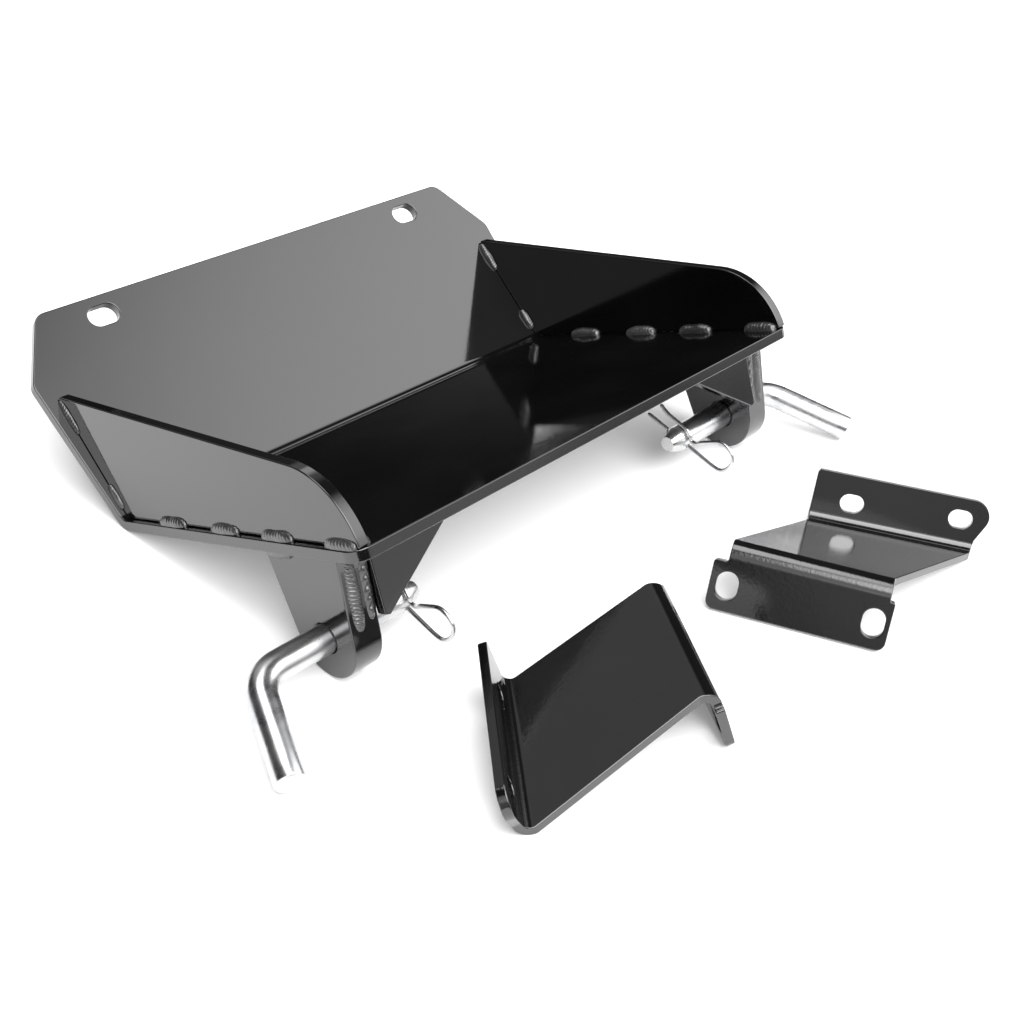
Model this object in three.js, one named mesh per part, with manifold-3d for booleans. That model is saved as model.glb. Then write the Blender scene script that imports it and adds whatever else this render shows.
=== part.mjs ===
// ATV plow mount kit: a bent mount plate with welded side gussets and two pin lugs, the bent hitch
// pins and hairpins that hold a plow frame in the lugs, and the pair of loose Z-shaped frame brackets.
// Millimetres. +X runs along the plate's bend, -Y is the open front of the shelf, +Z is up, and the kit
// stands on Z = 0 as it would be laid out: the plate on its bend and its two lugs, the brackets before it.
import * as THREE from "three";
import { mergeVertices } from "three/addons/utils/BufferGeometryUtils.js";
import Module from "manifold-3d";

const GAP = 0.3; // clearance left between touching pieces

// Driving dimensions. Y and Z of the mount are measured from the inside line of the plate's bend,
// with the shelf flat; the whole mount is then tilted until it rests on the ground.
const PLATE = {
  thickness: 6.35,
  bendRadius: 6,
  halfWidth: 177.8,
  shelfDepth: 207,
  shelfCornerRadius: 10,
  riseAngle: THREE.MathUtils.degToRad(62.8),
  panelHeight: 129.4,
  widestHalfWidth: 183.1,
  widestHeight: 90.2,
  topHalfWidth: 159.6,
  panelCornerRadius: 9,
};
const SLOT = { length: 20, width: 12.7, x: 121.4, height: 116.7 };
const GUSSET = { innerX: 167.7, thickness: 6.35, panelHeight: 79.7, topSlope: 0.154, noseRadius: 46 };
const LUG = { outerX: 174.5, thickness: 18, frontY: -186, rearY: -128.4, endRadius: 22 };
const PIN = { radius: 7.94, y: -158.4, z: -51.6, boreClearance: 0.36 };
const PIN_SHAPE = { shank: 103, handle: 60, bendRadius: 20, bend: THREE.MathUtils.degToRad(67) };
const PIN_TIP = { radius: 4, length: 7.5, holeFromTip: 11.2 };
const PIN_BEND_X = { left: 217.8, right: 204 }; // how far each pin is pushed in
const CLIP = { wire: 1.25, tail: 25.7, loopLength: 39, loopRadius: 9.6 };
const FRONT_GUSSET = { frontY: -187, thickness: 6.35, width: 62, height: 38, nose: 3.4 };
const BRACKET = {
  thickness: 4.76,
  bendRadius: 5,
  turn: THREE.MathUtils.degToRad(86.7),
  foldLength: 87,
  upperFold: { startX: 33.5, startY: 93.9, endX: 127.9, endY: 105.7 },
  lowerFlange: { height: 38.4, overhang: 7.6, endOverhang: 3, cornerRadius: 5 },
  upperFlange: { height: 29.8, noseReach: 8.2, noseHeight: 20, noseRadius: 9, cornerRadius: 3 },
  lowerSlots: { xs: [2.2, 81.2], height: 23.9, length: 16, width: 12 },
  upperSlots: { xs: [56.6, 118.9], heights: [12.9, 16.9], length: 14, width: 10.5 },
};
const BRACKET_PLACES = [
  { name: "right_frame_bracket", side: 1, x: 27.3, y: -264.3, turn: THREE.MathUtils.degToRad(-65.3) },
  { name: "left_frame_bracket", side: -1, x: -25.7, y: -257.8, turn: THREE.MathUtils.degToRad(-124.5) },
];

// Placed stitch welds: start and end along each seam, measured from the bend.
const SHELF_WELDS = [[35, 60], [85, 109], [130, 155], [181, 204]];
const PANEL_WELDS = [[6, 22], [55, 77]];
const WELD_LEG = { inner: 5.5, outer: 3.3, height: 5.5 };

const BLACK = { color: 0x141414, roughness: 0.25, metalness: 0.0 };
const WELD_BLACK = { color: 0x1a1a1a, roughness: 0.38, metalness: 0.0 };
const ZINC = { color: 0xc9cdd1, roughness: 0.25, metalness: 1.0 };

const wasm = await Module();
wasm.setup();

const X_AXIS = new THREE.Vector3(1, 0, 0);
const Y_AXIS = new THREE.Vector3(0, 1, 0);
const Z_AXIS = new THREE.Vector3(0, 0, 1);

// ---------------------------------------------------------------- solids and meshes

function toSolid(geometry) {
  const bare = geometry.clone();
  bare.deleteAttribute("normal");
  bare.deleteAttribute("uv");
  const merged = mergeVertices(bare, 1e-4);
  return new wasm.Manifold(
    new wasm.Mesh({
      numProp: 3,
      vertProperties: merged.attributes.position.array,
      triVerts: new Uint32Array(merged.index.array),
    }),
  );
}

function toGeometry(solid) {
  const made = solid.getMesh();
  const geometry = new THREE.BufferGeometry();
  geometry.setAttribute("position", new THREE.BufferAttribute(made.vertProperties, 3));
  geometry.setIndex(new THREE.BufferAttribute(made.triVerts, 1));
  geometry.computeVertexNormals();
  return geometry;
}

function piece(name, geometry, finish) {
  const mesh = new THREE.Mesh(geometry, new THREE.MeshStandardMaterial(finish));
  mesh.name = name;
  return mesh;
}

// Mirrors a geometry across X = 0 and turns its faces outward again.
function mirrored(geometry) {
  const flipped = geometry.index ? geometry.toNonIndexed() : geometry.clone();
  flipped.applyMatrix4(new THREE.Matrix4().makeScale(-1, 1, 1));
  const position = flipped.attributes.position;
  for (let i = 0; i < position.count; i += 3) {
    const a = new THREE.Vector3().fromBufferAttribute(position, i + 1);
    const b = new THREE.Vector3().fromBufferAttribute(position, i + 2);
    position.setXYZ(i + 1, b.x, b.y, b.z);
    position.setXYZ(i + 2, a.x, a.y, a.z);
  }
  flipped.deleteAttribute("normal");
  flipped.computeVertexNormals();
  return flipped;
}

// ---------------------------------------------------------------- outlines

// A closed outline through corners [x, y, radius], each corner rounded by an arc.
function roundedOutline(corners) {
  const shape = new THREE.Shape();
  corners.forEach(([x, y, radius = 0], i) => {
    const corner = new THREE.Vector2(x, y);
    const last = corners[(i + corners.length - 1) % corners.length];
    const next = corners[(i + 1) % corners.length];
    const back = new THREE.Vector2(last[0], last[1]).sub(corner).normalize();
    const ahead = new THREE.Vector2(next[0], next[1]).sub(corner).normalize();
    const half = Math.acos(back.dot(ahead)) / 2;
    const reach = radius / Math.tan(half);
    const start = corner.clone().addScaledVector(back, reach);
    if (i === 0) shape.moveTo(start.x, start.y);
    else shape.lineTo(start.x, start.y);
    if (!radius) return;
    const middle = back.clone().add(ahead).normalize();
    const centre = corner.clone().addScaledVector(middle, radius / Math.sin(half));
    const end = corner.clone().addScaledVector(ahead, reach);
    const clockwise = back.cross(ahead) > 0;
    shape.absarc(
      centre.x,
      centre.y,
      radius,
      start.clone().sub(centre).angle(),
      end.clone().sub(centre).angle(),
      clockwise,
    );
  });
  shape.closePath();
  return shape;
}

function slotShape(x, y, length, width, upright = false) {
  const half = (length - width) / 2;
  const radius = width / 2;
  const path = new THREE.Shape();
  if (upright) {
    path.absarc(x, y + half, radius, 0, Math.PI, false);
    path.absarc(x, y - half, radius, Math.PI, 2 * Math.PI, false);
  } else {
    path.absarc(x + half, y, radius, -Math.PI / 2, Math.PI / 2, false);
    path.absarc(x - half, y, radius, Math.PI / 2, 1.5 * Math.PI, false);
  }
  path.closePath();
  return path;
}

// The section of a sheet bent once. The inner surfaces meet at the origin: one leg comes in along
// -x, the other leaves at the turn angle above +x.
function bentSection(turn, comingLeg, leavingLeg, radius, thickness) {
  const setback = radius * Math.tan(turn / 2);
  const across = new THREE.Vector2(Math.sin(turn), -Math.cos(turn)).multiplyScalar(thickness);
  const end = new THREE.Vector2(Math.cos(turn), Math.sin(turn)).multiplyScalar(leavingLeg);
  const shape = new THREE.Shape();
  shape.moveTo(-comingLeg, 0);
  shape.lineTo(-setback, 0);
  shape.absarc(-setback, radius, radius, -Math.PI / 2, turn - Math.PI / 2, false);
  shape.lineTo(end.x, end.y);
  shape.lineTo(end.x + across.x, end.y + across.y);
  shape.absarc(-setback, radius, radius + thickness, turn - Math.PI / 2, -Math.PI / 2, true);
  shape.lineTo(-comingLeg, -thickness);
  shape.closePath();
  return shape;
}

// Extrudes a shape by depth. Its x and y lie along the two axes given, and it starts at origin.
function extruded(shape, depth, xAxis, yAxis, origin = new THREE.Vector3(), curveSegments = 8) {
  const geometry = new THREE.ExtrudeGeometry(shape, { depth, bevelEnabled: false, curveSegments });
  const zAxis = new THREE.Vector3().crossVectors(xAxis, yAxis);
  return geometry.applyMatrix4(new THREE.Matrix4().makeBasis(xAxis, yAxis, zAxis).setPosition(origin));
}

const acrossX = (shape, x0, x1, segments) =>
  extruded(shape, x1 - x0, Y_AXIS, Z_AXIS, new THREE.Vector3(x0, 0, 0), segments);

const upZ = (shape, z0, z1, segments) =>
  extruded(shape, z1 - z0, X_AXIS, Y_AXIS, new THREE.Vector3(0, 0, z0), segments);

// ---------------------------------------------------------------- mount plate

const PANEL_UP = new THREE.Vector3(0, Math.cos(PLATE.riseAngle), Math.sin(PLATE.riseAngle));
const PANEL_FRONT = new THREE.Vector3(0, -Math.sin(PLATE.riseAngle), Math.cos(PLATE.riseAngle));

// Extrudes a shape drawn on the panel, x along the bend and y up the panel, through its thickness.
const throughPanel = (shape, behind, before) =>
  extruded(shape, behind + before, X_AXIS, PANEL_UP, PANEL_FRONT.clone().multiplyScalar(-behind));

function mountPlate() {
  const section = bentSection(
    PLATE.riseAngle,
    PLATE.shelfDepth,
    PLATE.panelHeight,
    PLATE.bendRadius,
    PLATE.thickness,
  );
  const sheet = toSolid(acrossX(section, -PLATE.widestHalfWidth - 5, PLATE.widestHalfWidth + 5, 6));
  const half = PLATE.halfWidth;
  const shelf = roundedOutline([
    [-half, -PLATE.shelfDepth, PLATE.shelfCornerRadius],
    [half, -PLATE.shelfDepth, PLATE.shelfCornerRadius],
    [half, 15],
    [-half, 15],
  ]);
  const panel = roundedOutline([
    [-half, 1],
    [half, 1],
    [PLATE.widestHalfWidth, PLATE.widestHeight, PLATE.panelCornerRadius],
    [PLATE.topHalfWidth, PLATE.panelHeight, PLATE.panelCornerRadius],
    [-PLATE.topHalfWidth, PLATE.panelHeight, PLATE.panelCornerRadius],
    [-PLATE.widestHalfWidth, PLATE.widestHeight, PLATE.panelCornerRadius],
  ]);
  const outline = toSolid(upZ(shelf, -PLATE.thickness - 4, 0.5)).add(
    toSolid(throughPanel(panel, PLATE.thickness + 2, 2)),
  );
  let plate = sheet.intersect(outline);
  for (const x of [-SLOT.x, SLOT.x]) {
    const slot = slotShape(x, SLOT.height, SLOT.length, SLOT.width);
    plate = plate.subtract(toSolid(throughPanel(slot, PLATE.thickness + 2, 2)));
  }
  return toGeometry(plate);
}

// ---------------------------------------------------------------- side gussets and lugs

// The upright plate at each end of the shelf: straight sloping top and one large rounded nose.
function sideGusset() {
  const rearTop = PANEL_UP.clone().multiplyScalar(GUSSET.panelHeight).addScaledVector(PANEL_FRONT, GAP);
  const noseX = -PLATE.shelfDepth + GAP + GUSSET.noseRadius;
  const topAt = (y) => rearTop.z + GUSSET.topSlope * (y - rearTop.y);
  const noseZ = topAt(noseX) - GUSSET.noseRadius * Math.hypot(1, GUSSET.topSlope);
  const lowAngle = Math.PI - Math.asin((GAP - noseZ) / GUSSET.noseRadius);
  const highAngle = Math.PI / 2 + Math.atan(GUSSET.topSlope);
  const bottomRear = GAP / Math.tan(PLATE.riseAngle) - GAP / Math.sin(PLATE.riseAngle);
  const cornerRadius = PLATE.bendRadius - GAP;
  const setback = cornerRadius * Math.tan(PLATE.riseAngle / 2);
  const shape = new THREE.Shape();
  shape.moveTo(bottomRear - setback, GAP);
  shape.absarc(
    bottomRear - setback,
    GAP + cornerRadius,
    cornerRadius,
    -Math.PI / 2,
    PLATE.riseAngle - Math.PI / 2,
    false,
  );
  shape.lineTo(rearTop.y, rearTop.z);
  shape.absarc(noseX, noseZ, GUSSET.noseRadius, highAngle, lowAngle, false);
  shape.closePath();
  return acrossX(shape, GUSSET.innerX, GUSSET.innerX + GUSSET.thickness, 12);
}

// The angle, on a circle, of the point where a line from outside touches it.
function tangentAngle(from, centre, radius, side) {
  const away = new THREE.Vector2().subVectors(from, centre);
  return away.angle() + side * Math.acos(radius / away.length());
}

// The thick hanging plate that carries a pin: tapered, with a round end about the bore.
function lug() {
  const top = -PLATE.thickness - GAP;
  const centre = new THREE.Vector2(PIN.y, PIN.z);
  const front = new THREE.Vector2(LUG.frontY, top);
  const rear = new THREE.Vector2(LUG.rearY, top);
  const frontAngle = tangentAngle(front, centre, LUG.endRadius, 1);
  const rearAngle = tangentAngle(rear, centre, LUG.endRadius, -1);
  const shape = new THREE.Shape();
  shape.moveTo(front.x, front.y);
  shape.absarc(centre.x, centre.y, LUG.endRadius, frontAngle, rearAngle + 2 * Math.PI, false);
  shape.lineTo(rear.x, rear.y);
  shape.closePath();
  const bore = new THREE.Path();
  bore.absarc(centre.x, centre.y, PIN.radius + PIN.boreClearance, 0, 2 * Math.PI, true);
  shape.holes.push(bore);
  return acrossX(shape, LUG.outerX - LUG.thickness, LUG.outerX, 24);
}

// The triangular plate that ties a lug to the underside of the shelf, facing forward.
function frontGusset() {
  const outer = LUG.outerX - LUG.thickness - GAP;
  const top = -PLATE.thickness - GAP;
  const shape = new THREE.Shape();
  shape.moveTo(outer, top);
  shape.lineTo(outer - FRONT_GUSSET.width, top);
  shape.lineTo(outer - FRONT_GUSSET.nose, top - FRONT_GUSSET.height);
  shape.lineTo(outer, top - FRONT_GUSSET.height + 1);
  shape.closePath();
  const start = new THREE.Vector3(0, FRONT_GUSSET.frontY + FRONT_GUSSET.thickness, 0);
  return extruded(shape, FRONT_GUSSET.thickness, X_AXIS, Z_AXIS, start);
}

// ---------------------------------------------------------------- welds

// A convex fillet in a right-angled corner: x and y run out along the two plates.
function filletShape(legX, legY) {
  const shape = new THREE.Shape();
  shape.moveTo(GAP, GAP);
  shape.lineTo(legX, GAP);
  shape.quadraticCurveTo(legX * 0.92, legY * 0.92, GAP, legY);
  shape.closePath();
  return shape;
}

const BEAD_SEGMENTS = 4;

// One stitch weld where a side gusset stands on the shelf or against the panel. along points away
// from the bend, up is square to the seam's plate, and out is +1 outside the gusset, -1 inside.
function stitchWeld(along, up, from, to, out) {
  const legX = out > 0 ? WELD_LEG.outer : WELD_LEG.inner;
  const faceX = out > 0 ? GUSSET.innerX + GUSSET.thickness : GUSSET.innerX;
  const shape = filletShape(legX, WELD_LEG.height);
  const xAxis = X_AXIS.clone().multiplyScalar(out);
  const ahead = new THREE.Vector3().crossVectors(xAxis, up);
  const start = along.clone().multiplyScalar(ahead.dot(along) > 0 ? from : to);
  return extruded(shape, to - from, xAxis, up, start.setX(faceX), BEAD_SEGMENTS);
}

// A proud bead laid down a lug's front edge; x is where it lies across the lug's thickness.
function lugFrontBead(x, width, proud, topDrop, length) {
  const centre = new THREE.Vector2(PIN.y, PIN.z);
  const top = new THREE.Vector2(LUG.frontY, -PLATE.thickness - GAP);
  const angle = tangentAngle(top, centre, LUG.endRadius, 1);
  const down = new THREE.Vector3(0, -Math.sin(angle), Math.cos(angle));
  const out = new THREE.Vector3(0, Math.cos(angle), Math.sin(angle));
  const shape = new THREE.Shape();
  shape.moveTo(-width / 2, GAP);
  shape.quadraticCurveTo(0, 2 * proud, width / 2, GAP);
  shape.closePath();
  const start = new THREE.Vector3(x, top.x, top.y).addScaledVector(down, topDrop);
  const xAxis = new THREE.Vector3().crossVectors(out, down);
  return extruded(shape, length, xAxis, out, start, BEAD_SEGMENTS);
}

// The fillet between a lug's outer face and the underside of the shelf.
function lugShelfWeld(from, to) {
  const shape = filletShape(WELD_LEG.outer - 0.5, WELD_LEG.height);
  const start = new THREE.Vector3(LUG.outerX, from, -PLATE.thickness);
  return extruded(shape, to - from, X_AXIS, Z_AXIS.clone().negate(), start, BEAD_SEGMENTS);
}

// ---------------------------------------------------------------- hitch pins and hairpins

const HANDLE_REACH = PIN_SHAPE.handle * Math.sin(PIN_SHAPE.bend);
// The handle hangs until its end lies just above the ground.
const HANDLE_DROP = Math.asin((LUG.endRadius - PIN.radius - GAP) / HANDLE_REACH);

// A rod bent once, as a curve: the shank runs along +x from its tip, the handle leaves towards -y.
function pinPath() {
  const { shank, handle, bendRadius, bend } = PIN_SHAPE;
  const setback = bendRadius * Math.tan(bend / 2);
  const corner = new THREE.Vector3(shank, 0, 0);
  const leaving = new THREE.Vector3(Math.cos(bend), -Math.sin(bend), 0);
  const path = new THREE.CurvePath();
  const bendStart = corner.clone().setX(shank - setback);
  const bendEnd = corner.clone().addScaledVector(leaving, setback);
  const middle = new THREE.Vector3(shank - setback, -bendRadius, 0);
  const steps = 8;
  path.add(new THREE.LineCurve3(new THREE.Vector3(), bendStart));
  let last = bendStart;
  for (let i = 1; i <= steps; i++) {
    const angle = Math.PI / 2 - (bend * i) / steps;
    const point = new THREE.Vector3(Math.cos(angle), Math.sin(angle), 0)
      .multiplyScalar(bendRadius)
      .add(middle);
    path.add(new THREE.LineCurve3(last, i === steps ? bendEnd : point));
    last = point;
  }
  path.add(new THREE.LineCurve3(bendEnd, corner.clone().addScaledVector(leaving, handle)));
  return path;
}

function ringCutter(points) {
  const profile = points.map(([r, y]) => new THREE.Vector2(r, y));
  profile.push(profile[0].clone());
  return new THREE.LatheGeometry(profile, 24);
}

function hitchPin() {
  const round = new THREE.Shape().absarc(0, 0, PIN.radius, 0, 2 * Math.PI, false);
  const rod = toSolid(
    new THREE.ExtrudeGeometry(round, { steps: 44, extrudePath: pinPath(), curveSegments: 10 }),
  );
  const outside = PIN.radius + 2;
  const cone = ringCutter([
    [PIN_TIP.radius, -1],
    [outside, -1],
    [outside, PIN_TIP.length + 1],
    [PIN.radius + 0.5, PIN_TIP.length + 1],
    [PIN_TIP.radius, 0],
  ]).rotateZ(-Math.PI / 2);
  const hole = new THREE.CylinderGeometry(CLIP.wire + 0.35, CLIP.wire + 0.35, 4 * PIN.radius, 12);
  hole.translate(PIN_TIP.holeFromTip, 0, 0);
  return toGeometry(rod.subtract(toSolid(cone)).subtract(toSolid(hole)));
}

// The hairpin in its own plane: the straight tail runs along x through the pin's cross hole at the
// origin, the loop lies at +x, and the other leg comes back over the pin's crown.
function hairpinPath() {
  const rest = PIN.radius + CLIP.wire + GAP; // the sprung leg's distance from the pin's centre
  const loopX = CLIP.loopLength - CLIP.loopRadius;
  const points = [new THREE.Vector3(-CLIP.tail, 0, 0)];
  for (const x of [-12, 0, 12, 20, loopX - 3]) points.push(new THREE.Vector3(x, 0, 0));
  for (const degrees of [-62, -30, 0, 30, 60, 90]) {
    const angle = THREE.MathUtils.degToRad(degrees);
    const x = loopX + CLIP.loopRadius * Math.cos(angle);
    points.push(new THREE.Vector3(x, CLIP.loopRadius * (1 + Math.sin(angle)), 0));
  }
  points.push(new THREE.Vector3(loopX - 6, CLIP.loopRadius * 1.78, 0));
  points.push(new THREE.Vector3(loopX - 14, CLIP.loopRadius, 0));
  points.push(new THREE.Vector3(rest + 1.6, 4.2, 0));
  for (const degrees of [24, 40, 58, 75, 90]) {
    const angle = THREE.MathUtils.degToRad(degrees);
    points.push(new THREE.Vector3(rest * Math.cos(angle), rest * Math.sin(angle), 0));
  }
  points.push(new THREE.Vector3(-6, rest, 0));
  points.push(new THREE.Vector3(-13, rest + 0.2, 0));
  points.push(new THREE.Vector3(-20.3, rest + 2.2, 0));
  return new THREE.CatmullRomCurve3(points, false, "centripetal");
}

function hairpin() {
  const wire = new THREE.Shape().absarc(0, 0, CLIP.wire, 0, 2 * Math.PI, false);
  return new THREE.ExtrudeGeometry(wire, { steps: 96, extrudePath: hairpinPath(), curveSegments: 4 });
}

// Groups for one pin, in the mount's frame. The pin's own +x points out of the lug and its handle
// and cross hole lie along reach, which drops below level by HANDLE_DROP on the ground.
function pinGroup(side, tilt) {
  const out = side === "left" ? -1 : 1;
  const drop = HANDLE_DROP + tilt;
  const reach = new THREE.Vector3(0, -Math.cos(drop), -Math.sin(drop));
  const outward = X_AXIS.clone().multiplyScalar(out);
  const crown = new THREE.Vector3(0, -Math.sin(drop), Math.cos(drop));
  const pin = side === "right" ? hitchPin() : mirrored(hitchPin());
  const turn = new THREE.Matrix4().makeBasis(X_AXIS, reach.clone().negate(), crown);
  pin.applyMatrix4(turn);
  const clip = hairpin();
  clip.applyMatrix4(new THREE.Matrix4().makeBasis(reach, crown, X_AXIS.clone().negate()));
  const group = new THREE.Group();
  const tipX = PIN_BEND_X[side] - PIN_SHAPE.shank;
  group.add(piece(side + "_hitch_pin", pin, ZINC));
  const clipMesh = piece(side + "_hairpin", clip, ZINC);
  clipMesh.position.copy(outward).multiplyScalar(PIN_TIP.holeFromTip);
  group.add(clipMesh);
  group.position.set(out * tipX, PIN.y, PIN.z);
  return group;
}

// ---------------------------------------------------------------- loose frame brackets

const TRIM = 2; // extra sheet left beyond a flange's end for its outline to cut off

// The half of the bracket with the lower flange. The web's top is Z = 0 and its outer fold line is
// the X axis; the flange hangs down.
function lowerHalf(web) {
  const { thickness, bendRadius, turn, foldLength, lowerFlange, lowerSlots } = BRACKET;
  const outerSetback = (bendRadius + thickness) * Math.tan(turn / 2);
  const innerSetback = thickness * Math.tan(turn / 2);
  const section = bentSection(turn, 80, lowerFlange.height - innerSetback + TRIM, bendRadius, thickness);
  // The bend's inner side faces down here, so the section is laid turned over.
  const inner = new THREE.Vector3(-20, innerSetback, -thickness);
  const [toWeb, down] = [Y_AXIS.clone().negate(), Z_AXIS.clone().negate()];
  const sheet = toSolid(extruded(section, foldLength + 40, toWeb, down, inner));
  const x0 = -lowerFlange.overhang;
  const x1 = foldLength + lowerFlange.endOverhang;
  const r = lowerFlange.cornerRadius;
  const bottom = -lowerFlange.height * Math.sin(turn);
  const flange = roundedOutline([
    [x0, bottom, r],
    [x1, bottom, r],
    [x1, -outerSetback, 3],
    [x0, -outerSetback, 3],
  ]);
  const start = new THREE.Vector3(0, 20, 0);
  let made = toSolid(extruded(flange, 40, X_AXIS, Z_AXIS, start));
  for (const x of lowerSlots.xs) {
    const slot = slotShape(x, -lowerSlots.height, lowerSlots.length, lowerSlots.width, true);
    made = made.subtract(toSolid(extruded(slot, 60, X_AXIS, Z_AXIS, new THREE.Vector3(0, 30, 0))));
  }
  const neck = roundedOutline([
    [0, -30],
    [foldLength, -30],
    [foldLength, outerSetback],
    [0, outerSetback],
  ]);
  const bridge = toSolid(upZ(neck, -outerSetback - 4, 1));
  return sheet.intersect(toSolid(upZ(web, -outerSetback, 1)).add(bridge).add(made));
}

// The half with the upper flange, which stands up from a fold that isn't parallel to the first.
function upperHalf(web) {
  const { thickness, bendRadius, turn, upperFold, upperFlange, upperSlots } = BRACKET;
  const foldX = upperFold.endX - upperFold.startX;
  const foldY = upperFold.endY - upperFold.startY;
  const length = Math.hypot(foldX, foldY);
  const along = new THREE.Vector3(foldX, foldY, 0).divideScalar(length);
  const away = new THREE.Vector3(-along.y, along.x, 0);
  const origin = new THREE.Vector3(upperFold.startX, upperFold.startY, 0);
  const section = bentSection(turn, 90, upperFlange.height + TRIM, bendRadius, thickness);
  const start = origin.clone().addScaledVector(along, -30);
  const sheet = toSolid(extruded(section, length + 70, away, Z_AXIS, start));
  const nose = length + upperFlange.noseReach;
  const top = upperFlange.height * Math.sin(turn);
  const flange = roundedOutline([
    [0, -thickness - 2],
    [length + 1, -thickness - 2],
    [length + 1.5, 3],
    [nose, upperFlange.noseHeight, upperFlange.noseRadius],
    [nose - 6, top, upperFlange.noseRadius],
    [0, top, upperFlange.cornerRadius],
  ]);
  let made = toSolid(extruded(flange, 40, along, Z_AXIS, origin.clone().addScaledVector(away, 20)));
  upperSlots.xs.forEach((x, i) => {
    const t = (x - upperFold.startX) / along.x;
    const slot = slotShape(t, upperSlots.heights[i], upperSlots.length, upperSlots.width);
    made = made.subtract(
      toSolid(extruded(slot, 60, along, Z_AXIS, origin.clone().addScaledVector(away, 30))),
    );
  });
  return sheet.intersect(toSolid(upZ(web, -thickness - 2, 1)).add(made));
}

function frameBracket() {
  const { thickness, bendRadius, turn, foldLength, upperFold } = BRACKET;
  const outerSetback = (bendRadius + thickness) * Math.tan(turn / 2);
  const innerSetback = bendRadius * Math.tan(turn / 2);
  const web = roundedOutline([
    [0, outerSetback - 1],
    [foldLength, outerSetback - 1],
    [upperFold.endX, upperFold.endY - innerSetback],
    [upperFold.endX, upperFold.endY + thickness],
    [upperFold.startX, upperFold.startY + thickness],
    [upperFold.startX, upperFold.startY - innerSetback],
  ]);
  const solid = lowerHalf(web).add(upperHalf(web));
  return toGeometry(solid);
}

// Tips the bracket about its lower flange's edge until the far end of its upper fold is down too.
function restingBracket(geometry) {
  const { thickness, bendRadius, turn, upperFold, lowerFlange } = BRACKET;
  const edge = new THREE.Vector2(
    -lowerFlange.height * Math.cos(turn) + thickness / Math.sin(turn),
    -lowerFlange.height * Math.sin(turn),
  );
  const setback = bendRadius * Math.tan(turn / 2);
  const arc = new THREE.Vector2(upperFold.endY - setback, bendRadius);
  const away = arc.clone().sub(edge);
  const tip = away.angle() - Math.asin((bendRadius + thickness) / away.length());
  return geometry.clone().rotateX(-tip);
}

// ---------------------------------------------------------------- the kit

// How far the shelf slopes up to the front when the mount stands on its bend and its lugs.
function restTilt() {
  const setback = PLATE.bendRadius * Math.tan(PLATE.riseAngle / 2);
  const bend = new THREE.Vector2(-setback, PLATE.bendRadius);
  const between = bend.clone().sub(new THREE.Vector2(PIN.y, PIN.z));
  const outerRadius = PLATE.bendRadius + PLATE.thickness;
  return between.angle() + Math.asin((LUG.endRadius - outerRadius) / between.length());
}

const TILT = restTilt();

function buildMount() {
  const mount = new THREE.Group();
  mount.add(piece("mount_plate", mountPlate(), BLACK));
  const handed = {
    side_gusset: [sideGusset(), BLACK],
    pin_lug: [lug(), BLACK],
    lug_gusset: [frontGusset(), BLACK],
    lug_front_weld: [lugFrontBead(LUG.outerX - 8, 6, 1.8, 3, 38), WELD_BLACK],
    lug_gusset_weld: [lugFrontBead(LUG.outerX - LUG.thickness + 3.6, 5.5, 1.9, 3, 35), WELD_BLACK],
    lug_shelf_weld: [lugShelfWeld(-152, -130), WELD_BLACK],
  };
  SHELF_WELDS.forEach(([from, to], i) => {
    const toFront = Y_AXIS.clone().negate();
    handed["outer_shelf_weld_" + (i + 1)] = [stitchWeld(toFront, Z_AXIS, from, to, 1), WELD_BLACK];
    handed["inner_shelf_weld_" + (i + 1)] = [stitchWeld(toFront, Z_AXIS, from, to, -1), WELD_BLACK];
  });
  PANEL_WELDS.forEach(([from, to], i) => {
    handed["outer_panel_weld_" + (i + 1)] = [stitchWeld(PANEL_UP, PANEL_FRONT, from, to, 1), WELD_BLACK];
    handed["inner_panel_weld_" + (i + 1)] = [stitchWeld(PANEL_UP, PANEL_FRONT, from, to, -1), WELD_BLACK];
  });
  for (const [name, [geometry, finish]] of Object.entries(handed)) {
    mount.add(piece("right_" + name, geometry, finish));
    mount.add(piece("left_" + name, mirrored(geometry), finish));
  }
  mount.add(pinGroup("left", TILT), pinGroup("right", TILT));
  mount.rotation.x = -TILT;
  return mount;
}

function buildBrackets() {
  const bracket = restingBracket(frameBracket());
  return BRACKET_PLACES.map(({ name, side, x, y, turn }) => {
    const geometry = side > 0 ? bracket.clone() : mirrored(bracket);
    const mesh = piece(name, geometry, BLACK);
    mesh.rotation.z = side > 0 ? turn : turn + Math.PI;
    mesh.position.set(x, y, 0);
    return mesh;
  });
}

// Stands an object on Z = 0.
function standOnGround(object) {
  object.updateMatrixWorld(true);
  object.position.z -= new THREE.Box3().setFromObject(object, true).min.z;
  return object;
}

const part = new THREE.Group();
part.add(standOnGround(buildMount()));
for (const bracket of buildBrackets()) part.add(standOnGround(bracket));

// The kit's own frame has its origin at the middle of its footprint.
part.updateMatrixWorld(true);
const middle = new THREE.Box3().setFromObject(part, true).getCenter(new THREE.Vector3());
part.children.forEach((child) => child.position.sub(middle.clone().setZ(0)));

export default part;
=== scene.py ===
"""ATV plow mount kit in black powder coat: a bent mount plate with welded gussets and pin lugs, two bent
hitch pins with hairpins, and two loose Z-shaped frame brackets. Lengths here are millimetres, and each
piece is turned into metres in the row's frame as it is made."""

import math

import bmesh
import bpy
from mathutils import Matrix, Vector, geometry, noise


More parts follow.
